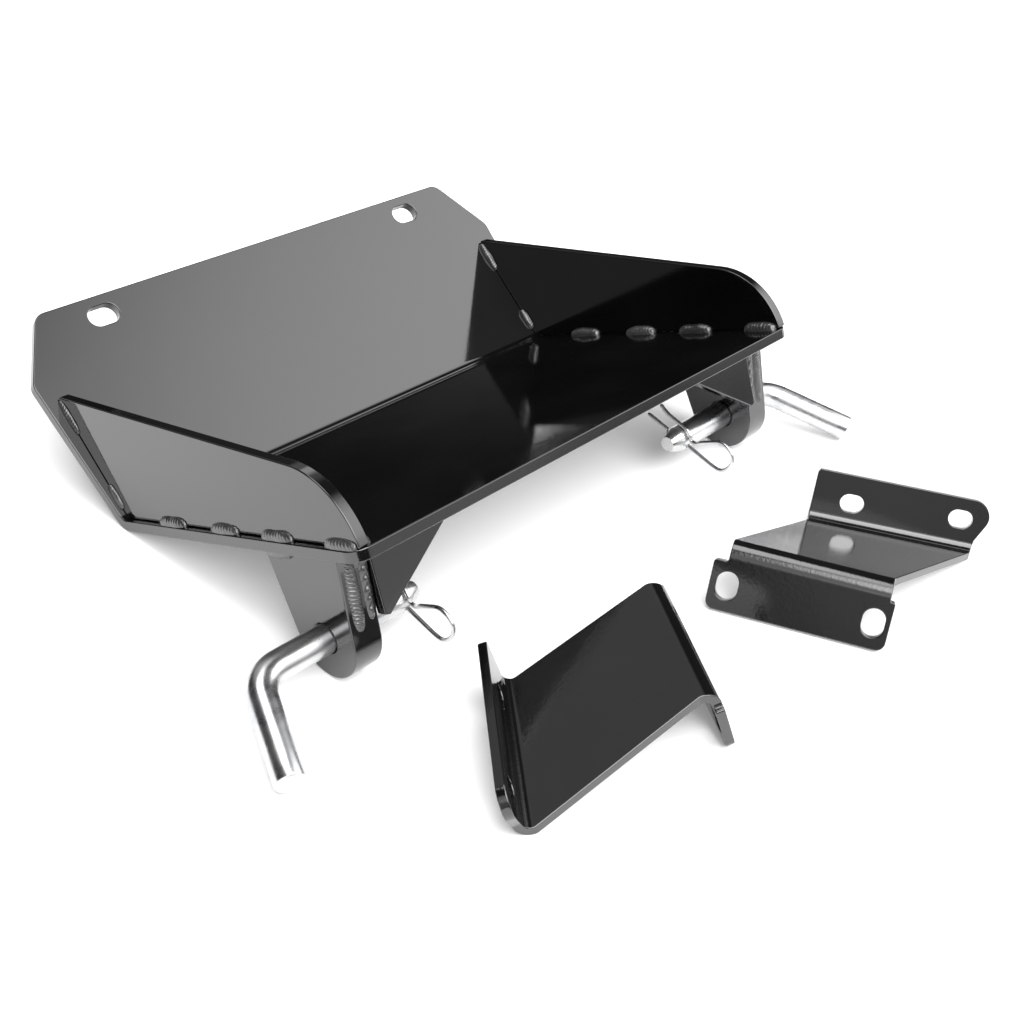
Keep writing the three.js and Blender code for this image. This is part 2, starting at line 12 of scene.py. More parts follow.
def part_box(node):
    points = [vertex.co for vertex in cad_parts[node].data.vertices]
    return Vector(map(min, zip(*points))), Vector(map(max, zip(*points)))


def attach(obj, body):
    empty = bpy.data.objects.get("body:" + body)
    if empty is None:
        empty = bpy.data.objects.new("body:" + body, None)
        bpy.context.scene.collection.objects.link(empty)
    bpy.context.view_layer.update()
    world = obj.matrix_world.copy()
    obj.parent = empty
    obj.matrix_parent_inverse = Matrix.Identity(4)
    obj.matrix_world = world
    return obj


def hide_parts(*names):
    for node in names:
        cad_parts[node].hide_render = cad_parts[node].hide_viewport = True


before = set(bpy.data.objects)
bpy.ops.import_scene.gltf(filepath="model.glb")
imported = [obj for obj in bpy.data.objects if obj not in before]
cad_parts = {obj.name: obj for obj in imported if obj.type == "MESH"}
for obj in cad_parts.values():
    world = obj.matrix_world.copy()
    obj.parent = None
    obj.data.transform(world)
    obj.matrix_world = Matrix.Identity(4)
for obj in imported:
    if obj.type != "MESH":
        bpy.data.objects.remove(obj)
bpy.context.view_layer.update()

MM = 0.001
GAP = 0.3  # clearance between neighbouring pieces

# ------------------------------------------------------------------ dimensions, as in the CAD model

PLATE = dict(
    thickness=6.35, radius=6.0, half=177.8, shelf=207.0, rise=math.radians(62.8), panel=129.4,
    wide_half=183.1, wide_at=90.2, top_half=159.6,
)
SLOT = dict(length=20.0, width=12.7, x=121.4, height=116.7)
GUSSET = dict(inner=167.7, thickness=6.35, panel=79.7, slope=0.154, nose=46.0)
LUG = dict(outer=174.5, thickness=18.0, front=-186.0, rear=-128.4, end=22.0)
PIN = dict(radius=7.94, y=-158.4, z=-51.6, bore=8.3, length=103.0, handle=60.0, bend=math.radians(67), hole=11.2)
WIRE = 1.25
FRONT_GUSSET = dict(front=-187.0, thickness=6.35, width=62.0, height=38.0, nose=3.4)
BRACKET = dict(thickness=4.76, radius=5.0, turn=math.radians(86.7), fold=87.0)
UPPER_FOLD = (Vector((33.5, 93.9)), Vector((127.9, 105.7)))
LOWER_FLANGE = dict(height=38.4, left=-7.6, right=90.0)
UPPER_FLANGE = dict(height=29.8, reach=8.2, nose_at=20.0)
BRACKET_TIP = math.radians(18.56)
BRACKET_TURN = dict(left=math.radians(-124.5), right=math.radians(-65.3))
SHELF_WELDS = ((35, 60), (85, 109), (130, 155), (181, 204))
PANEL_WELDS = ((6, 22), (55, 77))
WELD_LEG = dict(inner=5.5, outer=3.3, height=5.5)

# ------------------------------------------------------------------ materials


def new_material(name):
    mat = bpy.data.materials.new(name)
    mat.use_nodes = True
    nodes, links = mat.node_tree.nodes, mat.node_tree.links
    return mat, nodes, links, nodes["Principled BSDF"]


def add_noise(nodes, links, scale, detail=3.0, stretch=(1, 1, 1)):
    """A noise texture in the object's own metres; scale is features per metre."""
    coords = nodes.new("ShaderNodeTexCoord")
    mapping = nodes.new("ShaderNodeMapping")
    mapping.inputs["Scale"].default_value = stretch
    tex = nodes.new("ShaderNodeTexNoise")
    tex.inputs["Scale"].default_value = scale
    tex.inputs["Detail"].default_value = detail
    links.new(coords.outputs["Object"], mapping.inputs["Vector"])
    links.new(mapping.outputs["Vector"], tex.inputs["Vector"])
    return tex


def ramp_between(nodes, links, source, low, high, dark, light):
    ramp = nodes.new("ShaderNodeValToRGB")
    ramp.color_ramp.elements[0].position = low
    ramp.color_ramp.elements[1].position = high
    ramp.color_ramp.elements[0].color = (*dark, 1)
    ramp.color_ramp.elements[1].color = (*light, 1)
    links.new(source, ramp.inputs["Fac"])
    return ramp.outputs["Color"]


def spread(nodes, links, source, low, high):
    """Maps a 0.3 to 0.7 noise value onto a range."""
    mapped = nodes.new("ShaderNodeMapRange")
    mapped.inputs["From Min"].default_value = 0.3
    mapped.inputs["From Max"].default_value = 0.7
    mapped.inputs["To Min"].default_value = low
    mapped.inputs["To Max"].default_value = high
    links.new(source, mapped.inputs["Value"])
    return mapped.outputs["Result"]


def bumps(nodes, links, bsdf, layers):
    """Chained bumps: each layer is (height source, distance in metres, strength)."""
    last = None
    for source, distance, strength in layers:
        bump = nodes.new("ShaderNodeBump")
        bump.inputs["Distance"].default_value = distance
        bump.inputs["Strength"].default_value = strength
        links.new(source, bump.inputs["Height"])
        if last:
            links.new(last, bump.inputs["Normal"])
        last = bump.outputs["Normal"]
    links.new(last, bsdf.inputs["Normal"])


def powder_coat(name, dark, light, gloss, peel):
    mat, nodes, links, bsdf = new_material(name)
    blotch = add_noise(nodes, links, 14, 4).outputs["Fac"]
    fine = add_noise(nodes, links, 1900, 2).outputs["Fac"]
    orange = add_noise(nodes, links, 620, 1.0).outputs["Fac"]
    wave = add_noise(nodes, links, 34, 1.0).outputs["Fac"]
    links.new(ramp_between(nodes, links, blotch, 0.3, 0.7, dark, light), bsdf.inputs["Base Color"])
    links.new(spread(nodes, links, blotch, *gloss), bsdf.inputs["Roughness"])
    bsdf.inputs["IOR"].default_value = 1.85
    bumps(nodes, links, bsdf, [(wave, 0.0010, 0.03 * peel), (orange, 0.00020, 0.05 * peel), (fine, 0.00005, 0.06 * peel)])
    return mat


def zinc(name, stretch, rough):
    mat, nodes, links, bsdf = new_material(name)
    cloud = add_noise(nodes, links, 60, 4).outputs["Fac"]
    drawn = add_noise(nodes, links, 160, 3, stretch).outputs["Fac"]
    pits = add_noise(nodes, links, 1500, 2).outputs["Fac"]
    links.new(ramp_between(nodes, links, cloud, 0.3, 0.7, (0.50, 0.51, 0.53), (0.68, 0.68, 0.67)), bsdf.inputs["Base Color"])
    links.new(spread(nodes, links, drawn, *rough), bsdf.inputs["Roughness"])
    bsdf.inputs["Metallic"].default_value = 1.0
    bumps(nodes, links, bsdf, [(cloud, 0.0006, 0.10), (drawn, 0.00025, 0.18), (pits, 0.00006, 0.15)])
    return mat


COAT = powder_coat("black_powder_coat", (0.0022, 0.0022, 0.0023), (0.0042, 0.0042, 0.0043), (0.05, 0.10), 1.0)
BRACKET_COAT = powder_coat("textured_powder_coat", (0.0022, 0.0022, 0.0023), (0.0042, 0.0042, 0.0043), (0.06, 0.11), 3.6)
WELD_COAT = powder_coat("coated_weld", (0.012, 0.012, 0.012), (0.05, 0.05, 0.05), (0.20, 0.34), 1.6)
PIN_ZINC = zinc("zinc_plated_bar", (0.12, 1, 1), (0.22, 0.34))
WIRE_ZINC = zinc("zinc_plated_wire", (1, 1, 1), (0.20, 0.30))

# ------------------------------------------------------------------ outlines


def arc(cx, cy, radius, start, end, steps):
    angles = [start + (end - start) * i / steps for i in range(steps + 1)]
    return [Vector((cx + radius * math.cos(a), cy + radius * math.sin(a))) for a in angles]


def unit(angle):
    return Vector((math.cos(angle), math.sin(angle)))


def cross(a, b):
    return a.x * b.y - a.y * b.x


def eased(points, smallest=1.2, sharp=math.radians(14), steps=4):
    """The outline with each sharp corner rounded. A point may carry its own corner radius as a third number."""
    made = []
    for i, point in enumerate(points):
        corner = Vector(point[:2])
        back = Vector(points[i - 1][:2]) - corner
        ahead = Vector(points[(i + 1) % len(points)][:2]) - corner
        turn = math.pi - back.angle(ahead)
        if turn < sharp:
            made.append(corner)
            continue
        radius = point[2] if len(point) > 2 else smallest
        reach = min(radius * math.tan(turn / 2), 0.48 * back.length, 0.48 * ahead.length)
        radius = reach / math.tan(turn / 2)
        inward = (back.normalized() + ahead.normalized()).normalized()
        centre = corner + inward * radius / math.cos(turn / 2)
        start = corner + back.normalized() * reach - centre
        side = 1 if cross(-back, ahead) > 0 else -1
        count = max(steps, int(turn * radius / 1.4))
        for k in range(count + 1):
            made.append(centre + Matrix.Rotation(side * turn * k / count, 2) @ start)
    return made


def outward(points):
    """Each point's normal, to the right of the way round, led by the longer of its two edges."""
    normals = []
    for i, point in enumerate(points):
        before = point - points[i - 1]
        after = points[(i + 1) % len(points)] - point
        both = before.normalized() * before.length + after.normalized() * after.length
        normals.append(Vector((both.y, -both.x)).normalized())
    return normals


def round_hole(x, y, radius, steps=40):
    return arc(x, y, radius, 0, -2 * math.pi, steps)[:-1]


def slot_hole(x, y, length, width, along, steps=14):
    """An obround hole, clockwise; along is the angle of its long axis."""
    centre, r = Vector((x, y)), width / 2
    made = []
    for end in (0, 1):
        middle = centre + unit(along + math.pi * end) * (length - width) / 2
        facing = along + math.pi * end
        made += arc(middle.x, middle.y, r, facing + math.pi / 2, facing - math.pi / 2, steps)
    return made


def inside(point, loop):
    odd = False
    for i, b in enumerate(loop):
        a = loop[i - 1]
        if (a.y > point.y) != (b.y > point.y) and point.x < (b.x - a.x) * (point.y - a.y) / (b.y - a.y) + a.x:
            odd = not odd
    return odd


# ------------------------------------------------------------------ plates with rounded edges


def flat_plate(outer, holes, thickness, edge=0.7, steps=3):
    """A plate from z = -thickness to 0 with every edge rounded, its true normals kept in a layer."""
    bm = bmesh.new()
    true = bm.verts.layers.float_vector.new("true_normal")
    levels = [(edge * (1 - math.sin(a)), -edge * (1 - math.cos(a)), math.sin(a), math.cos(a)) for a in
              (math.pi / 2 * k / steps for k in range(steps + 1))]
    levels += [(inset, -thickness - z, s, -c) for inset, z, s, c in reversed(levels)]
    caps = []
    for loop in [outer] + holes:
        normals = outward(loop)
        rings = []
        for inset, z, s, c in levels:
            ring = []
            for point, normal in zip(loop, normals):
                at = point - normal * inset
                vert = bm.verts.new((at.x, at.y, z))
                vert[true] = (normal.x * s, normal.y * s, c)
                ring.append(vert)
            rings.append(ring)
        for upper, lower in zip(rings, rings[1:]):
            for i in range(len(loop)):
                bm.faces.new((upper[i - 1], lower[i - 1], lower[i], upper[i]))
        caps.append((rings[0], rings[-1]))
    tops = [[Vector(v.co[:2]) for v in top] for top, _ in caps]
    flat = [p for loop in tops for p in loop]
    edges, start = [], 0
    for loop in tops:
        edges += [(start + i, start + (i + 1) % len(loop)) for i in range(len(loop))]
        start += len(loop)
    points, _, faces, origin, _, _ = geometry.delaunay_2d_cdt(flat, edges, [], 0, 1e-5)
    upper = [v for top, _ in caps for v in top]
    lower = [v for _, bottom in caps for v in bottom]
    for face in faces:
        middle = sum((points[i] for i in face), Vector((0, 0))) / len(face)
        if not inside(middle, tops[0]) or any(inside(middle, hole) for hole in tops[1:]):
            continue
        ids = [origin[i][0] for i in face]
        if cross(points[face[1]] - points[face[0]], points[face[2]] - points[face[0]]) < 0:
            ids.reverse()
        bm.faces.new([upper[i] for i in ids])
        bm.faces.new([lower[i] for i in reversed(ids)])
    return bm


def cut_along(bm, start, along, distances):
    """Splits every face of a flat plate along lines parallel to a fold."""
    side = Vector((-along.y, along.x, 0))
    for distance in distances:
        at = Vector((start.x, start.y, 0)) + side * distance
        everything = bm.verts[:] + bm.edges[:] + bm.faces[:]
        bmesh.ops.bisect_plane(bm, geom=everything, plane_co=at, plane_no=side, dist=1e-4)


def fold(bm, start, along, turn, radius, thickness, up):
    """Folds what lies to the left of a line. up says whether it rises towards +z or drops. The fold's
    arc begins on the line, and a flat length of turn * (radius + thickness / 2) goes into it."""
    true = bm.verts.layers.float_vector["true_normal"]
    side = Vector((-along.y, along.x, 0))
    length = turn * (radius + thickness / 2)
    cut_along(bm, start, along, [length * k / 10 for k in range(11)])
    sign = 1 if up else -1
    for vert in bm.verts:
        d = (vert.co - Vector((start.x, start.y, 0))).dot(side)
        if d <= 1e-6:
            continue
        level = 0 if up else -thickness  # the face on the inside of the fold
        deep = (level - vert.co.z) * sign
        angle = min(d / (radius + thickness / 2), turn)
        beyond = max(d - length, 0)
        away = (radius + deep) * math.sin(angle) + beyond * math.cos(angle)
        rise = radius - (radius + deep) * math.cos(angle) + beyond * math.sin(angle)
        vert.co = vert.co + side * (away - d)
        vert.co.z = level + sign * rise
        n = Vector(vert[true])
        out, lift = n.dot(side), n.z * sign
        turned_out = out * math.cos(angle) - lift * math.sin(angle)
        turned_lift = out * math.sin(angle) + lift * math.cos(angle)
        n += side * (turned_out - out)
        n.z = turned_lift * sign
        vert[true] = n
    return bm


# ------------------------------------------------------------------ finishing pieces


def finish_piece(name, bm, matrix, material, body, node, split_angle=None):
    """Turns a bmesh in millimetres into a named piece that rides on its body and stands for its CAD node."""
    true = bm.verts.layers.float_vector.get("true_normal")
    turn = matrix.to_3x3()
    flipped = matrix.determinant() < 0
    normals = [(turn @ Vector(v[true])).normalized() for v in bm.verts] if true else None
    for vert in bm.verts:
        vert.co = matrix @ vert.co * MM
    if flipped:
        bmesh.ops.reverse_faces(bm, faces=bm.faces[:])
    if true:
        bm.verts.layers.float_vector.remove(true)
    if bm.calc_volume(signed=True) < 0:
        raise RuntimeError(name + " is inside out")
    mesh = bpy.data.meshes.new(name)
    bm.to_mesh(mesh)
    bm.free()
    mesh.shade_smooth()
    if normals:
        mesh.normals_split_custom_set_from_vertices(normals)
    elif split_angle:
        mesh.set_sharp_from_angle(angle=math.radians(split_angle))
    piece = bpy.data.objects.new(name, mesh)
    mesh.materials.append(material)
    bpy.context.scene.collection.objects.link(piece)
    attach(piece, body)
    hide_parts(node)
    return piece


def swept(centres, rings, closed_caps=True):
    """A closed skin over a row of rings, each a list of points the same way round."""
    bm = bmesh.new()
    rows = [[bm.verts.new(p) for p in ring] for ring in rings]
    for a, b in zip(rows, rows[1:]):
        for i in range(len(a)):
            bm.faces.new((a[i - 1], a[i], b[i], b[i - 1]))
    if closed_caps:
        bm.faces.new(list(reversed(rows[0])))
        bm.faces.new(rows[-1])
    bmesh.ops.recalc_face_normals(bm, faces=bm.faces[:])
    if bm.calc_volume(signed=True) < 0:
        bmesh.ops.reverse_faces(bm, faces=bm.faces[:])
    return bm


def tube(path, radii, sides):
    """Round bar along a path in the XY plane of its own bend: rings square to the path."""
    rings = []
    for i, point in enumerate(path):
        before = path[max(i - 1, 0)]
        after = path[min(i + 1, len(path) - 1)]
        ahead = (after - before).normalized()
        side = ahead.cross(Vector((0, 0, 1))).normalized()
        rings.append([
            point + (side * math.cos(a) + Vector((0, 0, 1)) * math.sin(a)) * radii[i]
            for a in (2 * math.pi * k / sides for k in range(sides))
        ])
    return swept(path, rings)


def apply_modifiers(piece):
    graph = bpy.context.evaluated_depsgraph_get()
    mesh = bpy.data.meshes.new_from_object(piece.evaluated_get(graph))
    old = piece.data
    piece.modifiers.clear()
    piece.data = mesh
    bpy.data.meshes.remove(old)


# ------------------------------------------------------------------ the mount's own frame

plate_low, plate_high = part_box("mount_plate")


def rest_tilt():
    setback = PLATE["radius"] * math.tan(PLATE["rise"] / 2)
    between = Vector((-setback - PIN["y"], PLATE["radius"] - PIN["z"]))
    angle = math.atan2(between.y, between.x)
    return angle + math.asin((LUG["end"] - PLATE["radius"] - PLATE["thickness"]) / between.length)


TILT = rest_tilt()
MIDDLE = (plate_low.x + plate_high.x) / 2 / MM
SETBACK = PLATE["radius"] * math.tan(PLATE["rise"] / 2)
TIP = Matrix.Rotation(-TILT, 4, "X")
bend_centre = TIP @ Vector((0, -SETBACK, PLATE["radius"]))
shelf_front = TIP @ Vector((0, -PLATE["shelf"], -PLATE["thickness"]))
MOUNT = Matrix.Translation((
    MIDDLE,
    plate_low.y / MM - shelf_front.y,
    PLATE["radius"] + PLATE["thickness"] - bend_centre.z,
)) @ TIP
MIRROR = Matrix.Scale(-1, 4, Vector((1, 0, 0)))
UPRIGHT = Matrix(((0, 0, 1, 0), (1, 0, 0, 0), (0, 1, 0, 0), (0, 0, 0, 1)))  # a plate's x, y, z to Y, Z, X


def on_side(side):
    return MOUNT @ MIRROR if side == "left" else MOUNT


# ------------------------------------------------------------------ camera at the picture's own angle


def place_camera():
    camera = bpy.data.objects.new("camera", bpy.data.cameras.new("camera"))
    right = Vector((0.67725, -0.73173, 0.07684))
    down = Vector((-0.37569, -0.43372, -0.81899))
    forward = Vector((0.63260, 0.52580, -0.56864))
    turn = Matrix((right, -down, -forward)).transposed().to_4x4()
    camera.matrix_world = Matrix.Translation((-0.5277, -0.4526, 0.4803)) @ turn
    camera.data.lens = 50.48
    camera.data.sensor_width = 36
    camera.data.clip_start = 0.01
    camera.data.clip_end = 60
    bpy.context.scene.collection.objects.link(camera)
    bpy.context.scene.camera = camera


# ------------------------------------------------------------------ mount plate


def mount_plate():
    flat_rise = PLATE["rise"] * (PLATE["radius"] + PLATE["thickness"] / 2)  # flat length in the bend
    at = lambda height: height - SETBACK + flat_rise - SETBACK  # a height up the panel, laid flat
    outer = eased([
        (-PLATE["half"], -PLATE["shelf"], 10), (PLATE["half"], -PLATE["shelf"], 10),
        (PLATE["half"], at(2)),
        (PLATE["wide_half"], at(PLATE["wide_at"]), 9), (PLATE["top_half"], at(PLATE["panel"]), 9),
        (-PLATE["top_half"], at(PLATE["panel"]), 9), (-PLATE["wide_half"], at(PLATE["wide_at"]), 9),
        (-PLATE["half"], at(2)),
    ])
    holes = [slot_hole(x, at(SLOT["height"]), SLOT["length"], SLOT["width"], 0) for x in (-SLOT["x"], SLOT["x"])]
    bm = flat_plate(outer, holes, PLATE["thickness"])
    fold(bm, Vector((0, -SETBACK)), Vector((1, 0)), PLATE["rise"], PLATE["radius"], PLATE["thickness"], True)
    finish_piece("bent_plate", bm, MOUNT, COAT, "mount", "mount_plate")


# ------------------------------------------------------------------ gussets and lugs


def side_gusset(side):
    rise = PLATE["rise"]
    up, front = Vector((math.cos(rise), math.sin(rise))), Vector((-math.sin(rise), math.cos(rise)))
    rear_top = up * GUSSET["panel"] + front * GAP
    nose_x = -PLATE["shelf"] + GAP + GUSSET["nose"]
    top_z = rear_top.y + GUSSET["slope"] * (nose_x - rear_top.x)
    nose_z = top_z - GUSSET["nose"] * math.hypot(1, GUSSET["slope"])
    low = math.pi - math.asin((GAP - nose_z) / GUSSET["nose"])
    high = math.pi / 2 + math.atan(GUSSET["slope"])
    bottom = Vector((GAP / math.tan(rise) - GAP / math.sin(rise), GAP))
    corner = [(bottom.x, bottom.y, PLATE["radius"] - GAP)]
    nose = [tuple(p) for p in arc(nose_x, nose_z, GUSSET["nose"], high, low, 40)]
    nose = nose[:-3] + nose[-1:]  # room for the corner where the nose meets the shelf
    outer = eased(corner + [tuple(rear_top)] + nose, steps=5)
    bm = flat_plate(outer, [], GUSSET["thickness"])
    place = Matrix.Translation((GUSSET["inner"] + GUSSET["thickness"], 0, 0)) @ UPRIGHT
    name = side + "_side_gusset"
    finish_piece(name + "_plate", bm, on_side(side) @ place, COAT, "mount", name)


def lug_tangent(start, turn):
    """The angle on the lug's round end where a straight edge from start meets it."""
    away = Vector((start[0] - PIN["y"], start[1] - PIN["z"]))
    return math.atan2(away.y, away.x) + turn * math.acos(LUG["end"] / away.length)


LUG_TOP = -PLATE["thickness"] - GAP


def pin_lug(side):
    front = lug_tangent((LUG["front"], LUG_TOP), 1)
    rear = lug_tangent((LUG["rear"], LUG_TOP), -1)
    while rear < front:
        rear += 2 * math.pi
    end = [tuple(p) for p in arc(PIN["y"], PIN["z"], LUG["end"], front, rear, 44)]
    outer = eased([(LUG["front"], LUG_TOP)] + end + [(LUG["rear"], LUG_TOP)])
    bore = round_hole(PIN["y"], PIN["z"], PIN["bore"], 48)
    bm = flat_plate(outer, [bore], LUG["thickness"], edge=0.9)
    place = Matrix.Translation((LUG["outer"], 0, 0)) @ UPRIGHT
    name = side + "_pin_lug"
    finish_piece(name + "_plate", bm, on_side(side) @ place, COAT, "mount", name)


def lug_gusset(side):
    outer_x = LUG["outer"] - LUG["thickness"] - GAP
    height = FRONT_GUSSET["height"]
    outer = eased([
        (outer_x, LUG_TOP), (outer_x - FRONT_GUSSET["width"], LUG_TOP),
        (outer_x - FRONT_GUSSET["nose"], LUG_TOP - height), (outer_x, LUG_TOP - height + 1),
    ], smallest=0.9)
    bm = flat_plate(outer, [], FRONT_GUSSET["thickness"])
    stand = Matrix(((1, 0, 0, 0), (0, 0, -1, FRONT_GUSSET["front"]), (0, 1, 0, 0), (0, 0, 0, 1)))
    name = side + "_lug_gusset"
    finish_piece(name + "_plate", bm, on_side(side) @ stand, COAT, "mount", name)


# ------------------------------------------------------------------ weld beads


def bead(section, length, back, pitch, depth, seed, slant=0.0, across=14):
    """A rippled bead along +z, smaller towards its ends. section(u) gives its full skin about the corner
    it fills, u from 0 to 1 from toe to toe, and back the points that close it against the plates. The
    ripples bow along the bead, and slant is how far they lean from toe to toe."""
    count = max(12, int(length / 0.32))
    rings = []
    for i in range(count + 1):
        z = length * i / count
        taper = math.sqrt(max(0.0, 1 - abs(2 * z / length - 1) ** 3.4))
        size = (0.24 + 0.76 * taper) * (1 + 0.12 * noise.noise(Vector((seed, 0, z * 0.14))))
        ring = []
        for k in range(across + 1):
            u = k / across
            middle = 1 - (2 * u - 1) ** 2
            wobble = 0.7 * noise.noise(Vector((seed, u * 2, z * 0.21)))
            phase = (z + 0.75 * pitch * middle + slant * u + wobble) / pitch
            saw = phase - math.floor(phase)
            valley = 1 - math.sqrt(max(0.0, 1 - (2 * saw - 1) ** 2 * 0.98))
            lump = 0.30 * noise.noise(Vector((seed + 9, u * 2.5, z * 0.22)))
            foot = section(0) * (1 - u) + section(1) * u
            skin = section(u)
            lift = (skin - foot).normalized() if middle > 0.01 else Vector((0, 0))
            point = skin * size - lift * (depth * valley - lump) * middle**0.6 * min(1, 2 * taper)
            ring.append(Vector((point.x, point.y, z)))
        ring += [Vector((p[0], p[1], z)) for p in back]
        rings.append(ring)
    return swept(None, rings)


SUNK = -0.1  # how far a bead's back lies inside the plates it joins


def fillet_section(leg_x, leg_y):
    def section(u):
        a, b, c = Vector((leg_x, SUNK)), Vector((leg_x * 0.92, leg_y * 0.92)), Vector((SUNK, leg_y))
        return a * (1 - u) ** 2 + b * 2 * u * (1 - u) + c * u**2
    return section


def basis(x_axis, y_axis, z_axis, origin):
    turn = Matrix((x_axis, y_axis, z_axis)).transposed().to_4x4()
    return Matrix.Translation(origin) @ turn


def stitch_weld(side, name, along, up, start, end, out, seed, scale, pitch, depth):
    leg = scale * (WELD_LEG["outer"] if out > 0 else WELD_LEG["inner"])
    face = GUSSET["inner"] + (GUSSET["thickness"] if out > 0 else 0)
    bm = bead(fillet_section(leg, scale * WELD_LEG["height"]), end - start, [(SUNK, SUNK)], pitch, depth, seed)
    place = basis(Vector((out, 0, 0)), up, along, along * start + Vector((face, 0, 0)))
    node = side + "_" + name
    finish_piece(node + "_bead", bm, on_side(side) @ place, WELD_COAT, "mount", node, 50)


def lug_front_bead(side, name, x, width, proud, length, pitch, depth, seed, slant):
    angle = lug_tangent((LUG["front"], LUG_TOP), 1)
    down = Vector((0, -math.sin(angle), math.cos(angle)))
    out = Vector((0, math.cos(angle), math.sin(angle)))

    def section(u):
        return Vector(((u - 0.5) * width, SUNK + 4 * (proud - SUNK) * u * (1 - u)))

    bm = bead(section, length, [], pitch, depth, seed, slant)
    start = Vector((x, LUG["front"], LUG_TOP)) + down * 3
    node = side + "_" + name
    place = basis(out.cross(down), out, down, start)
    finish_piece(node + "_bead", bm, on_side(side) @ place, WELD_COAT, "mount", node, 50)


def lug_shelf_bead(side, seed):
    bm = bead(fillet_section(WELD_LEG["outer"] - 0.5, 3.8), 22, [(SUNK, SUNK)], 2.5, 0.5, seed)
    start = Vector((LUG["outer"], -152, -PLATE["thickness"]))
    place = basis(Vector((1, 0, 0)), Vector((0, 0, -1)), Vector((0, 1, 0)), start)
    node = side + "_lug_shelf_weld"
    finish_piece(node + "_bead", bm, on_side(side) @ place, WELD_COAT, "mount", node, 50)


def all_welds():
    rise = PLATE["rise"]
    up = Vector((0, math.cos(rise), math.sin(rise)))
    front = Vector((0, -math.sin(rise), math.cos(rise)))
    for s, side in enumerate(("left", "right")):
        for out, word in ((1, "outer"), (-1, "inner")):
            for i, (start, end) in enumerate(SHELF_WELDS):
                name = f"{word}_shelf_weld_{i + 1}"
                stitch_weld(side, name, Vector((0, -1, 0)), Vector((0, 0, 1)), start, end, out, 10 * s + i + 3 * out, 0.9, 2.4, 0.5)
            for i, (start, end) in enumerate(PANEL_WELDS):
                name = f"{word}_panel_weld_{i + 1}"
                stitch_weld(side, name, up, front, start, end, out, 40 + 10 * s + i + 3 * out, 0.62, 1.9, 0.3)
        lug_front_bead(side, "lug_front_weld", LUG["outer"] - 6.4, 8, 1.8, 38, 2.2, 1.0, 70 + s, 5.0)
        inner = LUG["outer"] - LUG["thickness"] + 3.6
        lug_front_bead(side, "lug_gusset_weld", inner, 5.5, 1.9, 35, 5.5, 1.1, 80 + s, 2.0)
        lug_shelf_bead(side, 90 + s)


# ------------------------------------------------------------------ hitch pins and hairpins

HANDLE_REACH = PIN["handle"] * math.sin(PIN["bend"])
DROP = math.asin((LUG["end"] - PIN["radius"] - GAP) / HANDLE_REACH) + TILT
REACH = Vector((0, -math.cos(DROP), -math.sin(DROP)))
CROWN = Vector((0, -math.sin(DROP), math.cos(DROP)))


def pin_place(side):
    """Where a pin's tip is: its own +x runs out of the lug, its handle bends towards -y."""
    low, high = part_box(side + "_hitch_pin")
    world_tip = high.x if side == "left" else low.x
    tip = abs(world_tip / MM - MIDDLE)
    return on_side(side) @ basis(Vector((1, 0, 0)), -REACH, CROWN, Vector((tip, PIN["y"], PIN["z"])))


def hitch_pin(side):
    r, bend, radius = PIN["radius"], PIN["bend"], 20.0
    setback = radius * math.tan(bend / 2)
    path = [Vector((x, 0, 0)) for x in (0, 7.5)]
    radii = [4.6, r]
    path.append(Vector((8.2, 0, 0)))
    radii.append(r)
    start = PIN["length"] - setback
    path += [Vector((x, 0, 0)) for x in (20, 50, start - 1)]
    for i in range(21):
        angle = math.pi / 2 - bend * i / 20
        path.append(Vector((start + radius * math.cos(angle), radius * (math.sin(angle) - 1), 0)))
    leave = Vector((math.cos(bend), -math.sin(bend), 0))
    corner = Vector((PIN["length"], 0, 0))
    path += [corner + leave * d for d in (30, 45, PIN["handle"] - 1.3, PIN["handle"] - 0.6, PIN["handle"])]
    radii += [r] * (len(path) - len(radii) - 2) + [r - 0.25, r - 1.1]
    name = side + "_hitch_pin"
    bm = tube(path, radii, 56)
    piece = finish_piece(name + "_bar", bm, pin_place(side), PIN_ZINC, side + "_pin", name, 28)
    cutter_bm = tube([Vector((0, y, 0)) for y in (-12, 12)], [WIRE + 0.35] * 2, 24)
    cutter_bm.transform(pin_place(side) @ Matrix.Translation((PIN["hole"], 0, 0)))
    for vert in cutter_bm.verts:
        vert.co *= MM
    bmesh.ops.recalc_face_normals(cutter_bm, faces=cutter_bm.faces[:])
    cutter_mesh = bpy.data.meshes.new("cross_hole")
    cutter_bm.to_mesh(cutter_mesh)
    cutter_bm.free()
    cutter = bpy.data.objects.new("cross_hole", cutter_mesh)
    bpy.context.scene.collection.objects.link(cutter)
    cutting = piece.modifiers.new("cross_hole", "BOOLEAN")
    cutting.object = cutter
    cutting.operation = "DIFFERENCE"
    cutting.solver = "EXACT"
    bpy.context.view_layer.update()
    apply_modifiers(piece)
    bpy.data.objects.remove(cutter)
    piece.data.set_sharp_from_angle(angle=math.radians(28))


def catmull(points, steps):
    made = []
    for i in range(len(points) - 1):
        p0, p1 = points[max(i - 1, 0)], points[i]
        p2, p3 = points[i + 1], points[min(i + 2, len(points) - 1)]
        for k in range(steps):
            t = k / steps
            made.append(0.5 * ((2 * p1) + (p2 - p0) * t + (2 * p0 - 5 * p1 + 4 * p2 - p3) * t * t
                               + (3 * p1 - p0 - 3 * p2 + p3) * t**3))
    return made + [points[-1]]


